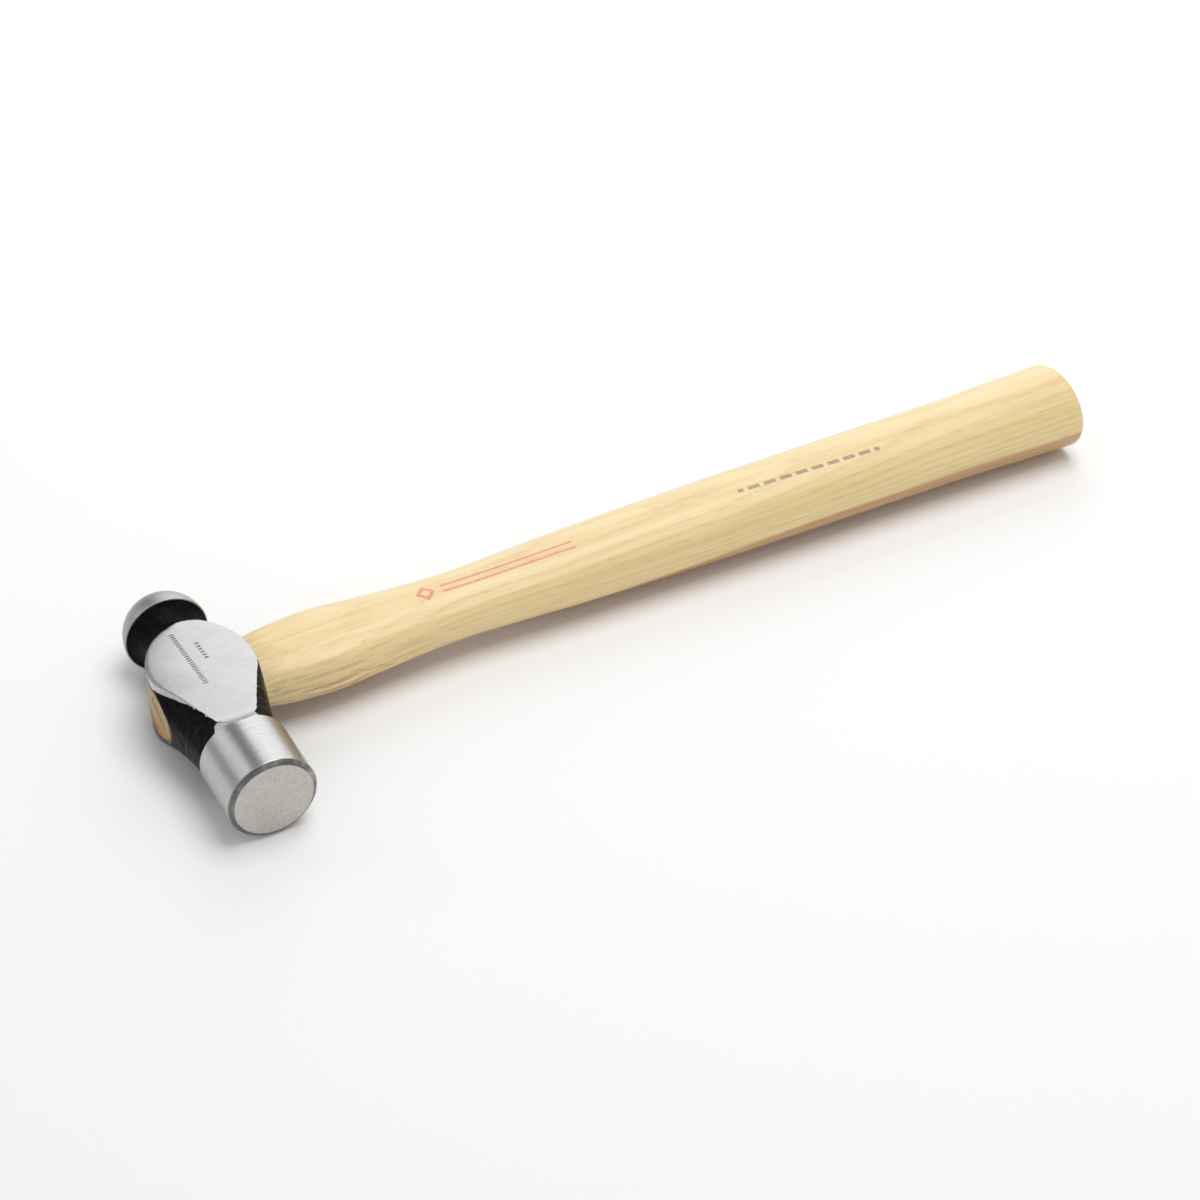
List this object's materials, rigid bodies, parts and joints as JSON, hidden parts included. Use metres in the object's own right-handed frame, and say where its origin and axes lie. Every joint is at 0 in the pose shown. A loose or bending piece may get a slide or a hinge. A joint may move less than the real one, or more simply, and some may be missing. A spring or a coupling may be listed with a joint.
{
  "type": "ball pein hammer",
  "caption": "Ball pein hammer with a flat round striking face, a round pein and a shaped hickory handle, wedged in the eye.",
  "frame": {"origin": "centre of the hammer's box in X and Y, at its lowest line", "axes": "+X along the handle towards the butt, -Y out of the striking face, +Z out of the upper cheek"},
  "size_m": [0.3638, 0.106, 0.03],
  "materials": {
    "head_steel": "ground bright on the face, poll and cheeks, polished on the ball, black forge scale between them",
    "hickory": "pale hickory, smooth clear lacquer",
    "wedge_steel": "dull grey, as cut"
  },
  "bodies": {
    "root": {"head": "head_steel", "handle": "hickory", "front_wedge": "wedge_steel", "rear_wedge": "wedge_steel"}
  },
  "joints": []
}
